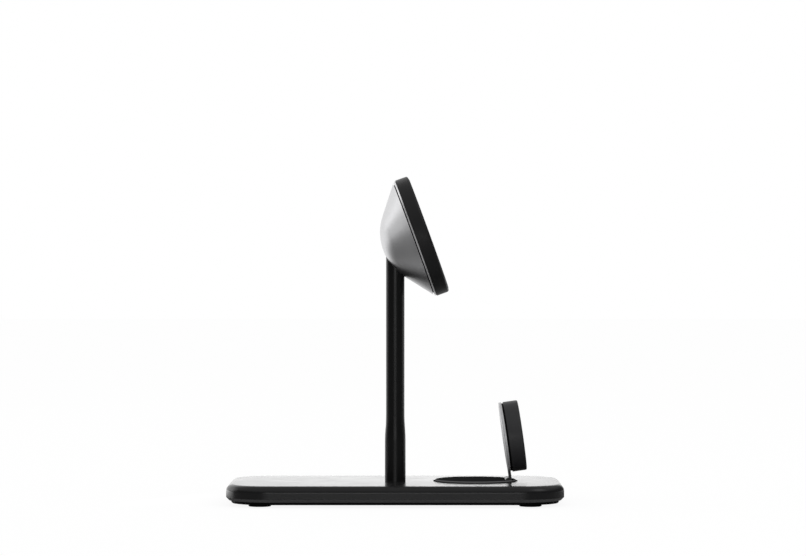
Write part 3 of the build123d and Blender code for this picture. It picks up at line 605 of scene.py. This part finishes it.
def make_floor():
    """White floor: it glows white to the eye, and keeps the soft shadow under the stand."""
    mesh = bpy.data.meshes.new("studio_floor")
    half = floor_size / 2
    corners = [(-half, -half, 0), (half, -half, 0), (half, half, 0), (-half, half, 0)]
    mesh.from_pydata(corners, [], [(0, 1, 2, 3)])
    floor = bpy.data.objects.new("studio_floor", mesh)
    scene.collection.objects.link(floor)
    made = bpy.data.materials.new("studio_floor")
    made.use_nodes = True
    tree = made.node_tree
    tree.nodes.clear()
    link = tree.links.new
    out = add_node(tree, "ShaderNodeOutputMaterial", (800, 0))
    path = add_node(tree, "ShaderNodeLightPath", (-600, 300))
    mirrored = add_node(tree, "ShaderNodeMath", (-300, 200), operation="MAXIMUM")
    where = add_node(tree, "ShaderNodeTexCoord", (-900, 0))
    parts = add_node(tree, "ShaderNodeSeparateXYZ", (-700, 0))
    behind = add_node(tree, "ShaderNodeMapRange", (-500, 0), interpolation_type="SMOOTHSTEP",
                      From_Min=floor_back_start, From_Max=floor_back_end, To_Max=floor_back_glow)
    bounce = add_node(tree, "ShaderNodeBsdfDiffuse", (-100, 250), Color=(floor_bounce,) * 3 + (1.0,))
    dim = add_node(tree, "ShaderNodeBsdfDiffuse", (-300, 100), Color=(floor_mirrored,) * 3 + (1.0,))
    far = add_node(tree, "ShaderNodeEmission", (-300, 0), Color=(1, 1, 1, 1))
    mirror = add_node(tree, "ShaderNodeAddShader", (-100, 50))
    shade = add_node(tree, "ShaderNodeBsdfDiffuse", (-100, -100), Color=(floor_shade,) * 3 + (1.0,))
    glow = add_node(tree, "ShaderNodeEmission", (-100, -300), Color=(1, 1, 1, 1), Strength=floor_glow)
    white = add_node(tree, "ShaderNodeAddShader", (200, -150))
    unseen = add_node(tree, "ShaderNodeMixShader", (250, 150))
    pick = add_node(tree, "ShaderNodeMixShader", (500, 0))
    link(path.outputs["Is Glossy Ray"], mirrored.inputs[0])
    link(path.outputs["Is Transmission Ray"], mirrored.inputs[1])
    link(mirrored.outputs["Value"], unseen.inputs["Fac"])
    link(where.outputs["Object"], parts.inputs["Vector"])
    link(parts.outputs["Y"], behind.inputs["Value"])
    link(behind.outputs["Result"], far.inputs["Strength"])
    link(dim.outputs["BSDF"], mirror.inputs[0])
    link(far.outputs["Emission"], mirror.inputs[1])
    link(bounce.outputs["BSDF"], unseen.inputs[1])
    link(mirror.outputs["Shader"], unseen.inputs[2])
    link(shade.outputs["BSDF"], white.inputs[0])
    link(glow.outputs["Emission"], white.inputs[1])
    link(path.outputs["Is Camera Ray"], pick.inputs["Fac"])
    link(unseen.outputs["Shader"], pick.inputs[1])
    link(white.outputs["Shader"], pick.inputs[2])
    link(pick.outputs["Shader"], out.inputs["Surface"])
    mesh.materials.append(made)


def make_room():
    """World: white to the eye, a white sweep behind the stand in reflections, and a plain level as light."""
    world = bpy.data.worlds.new("studio_room")
    scene.world = world
    world.use_nodes = True
    tree = world.node_tree
    tree.nodes.clear()
    link = tree.links.new
    out = add_node(tree, "ShaderNodeOutputWorld", (800, 0))
    path = add_node(tree, "ShaderNodeLightPath", (-600, 300))
    mirrored = add_node(tree, "ShaderNodeMath", (-300, 200), operation="MAXIMUM")
    where = add_node(tree, "ShaderNodeTexCoord", (-1100, -200))
    towards = add_node(tree, "ShaderNodeVectorMath", (-900, -200), operation="DOT_PRODUCT")
    towards.inputs[1].default_value = sweep_direction
    sweep = add_node(tree, "ShaderNodeMapRange", (-600, -100), interpolation_type="SMOOTHSTEP",
                     From_Min=sweep_edge[0], From_Max=sweep_edge[1],
                     To_Min=flag_level, To_Max=flag_level + sweep_level)
    parts = add_node(tree, "ShaderNodeSeparateXYZ", (-900, -400))
    ceiling = add_node(tree, "ShaderNodeMapRange", (-600, -400), interpolation_type="SMOOTHSTEP",
                       From_Min=ceiling_edge[0], From_Max=ceiling_edge[1], To_Max=ceiling_level)
    brighter = add_node(tree, "ShaderNodeMath", (-300, -200), operation="MAXIMUM")
    light = add_node(tree, "ShaderNodeBackground", (0, 200), Color=(1, 1, 1, 1), Strength=room_level)
    mirror = add_node(tree, "ShaderNodeBackground", (0, 0), Color=(1, 1, 1, 1))
    white = add_node(tree, "ShaderNodeBackground", (0, -200), Color=(1, 1, 1, 1), Strength=1.0)
    unseen = add_node(tree, "ShaderNodeMixShader", (300, 100))
    pick = add_node(tree, "ShaderNodeMixShader", (550, 0))
    link(where.outputs["Generated"], towards.inputs[0])
    link(towards.outputs["Value"], sweep.inputs["Value"])
    link(where.outputs["Generated"], parts.inputs["Vector"])
    link(parts.outputs["Z"], ceiling.inputs["Value"])
    link(sweep.outputs["Result"], brighter.inputs[0])
    link(ceiling.outputs["Result"], brighter.inputs[1])
    link(brighter.outputs["Value"], mirror.inputs["Strength"])
    link(path.outputs["Is Glossy Ray"], mirrored.inputs[0])
    link(path.outputs["Is Transmission Ray"], mirrored.inputs[1])
    link(mirrored.outputs["Value"], unseen.inputs["Fac"])
    link(light.outputs["Background"], unseen.inputs[1])
    link(mirror.outputs["Background"], unseen.inputs[2])
    link(path.outputs["Is Camera Ray"], pick.inputs["Fac"])
    link(unseen.outputs["Shader"], pick.inputs[1])
    link(white.outputs["Background"], pick.inputs[2])
    link(pick.outputs["Shader"], out.inputs["Surface"])


def make_softbox(name, place, aim, size, level, grid=None):
    """Soft light of a width and height that points at a place; its level is its brightness, 1 is white.

    A grid keeps its beam within this angle, in degrees, to each side.
    """
    width, height = size
    lamp = bpy.data.lights.new(name, "AREA")
    lamp.shape = "RECTANGLE"
    lamp.size = width
    lamp.size_y = height
    lamp.energy = level * pi * width * height
    if grid:
        lamp.spread = 2 * radians(grid)
        lamp.energy *= 1 - radians(grid) / tan(radians(grid))
    box = bpy.data.objects.new(name, lamp)
    box.location = place
    box.rotation_mode = "QUATERNION"
    box.rotation_quaternion = (Vector(aim) - Vector(place)).to_track_quat("-Z", "Y")
    box.visible_camera = False
    scene.collection.objects.link(box)


make_camera()
make_floor()
make_room()
make_softbox("left_softbox", place=(-1.0, 0.5, 0.42), aim=(0, 0, 0.08), size=(0.5, 0.5), level=0.6)
make_softbox("left_card", place=(-0.107, 0.018, 0.004), aim=(-0.0625, -0.005, 0.004),
             size=(0.06, 0.007), level=1.4)
make_softbox("front_softbox", place=(-0.03, -1.6, 0.06), aim=(0, 0, 0.06), size=(0.7, 0.32), level=1.8)
make_softbox("right_softbox", place=(0.9, -0.5, 1.0), aim=(0, 0, 0.08), size=(0.7, 0.7), level=0.7)
make_softbox("back_strip", place=(0, 0.3, 0.03), aim=(0, 0, 0.0094), size=(0.6, 0.044), level=1.68, grid=16.0)
scene.view_settings.view_transform = "Standard"
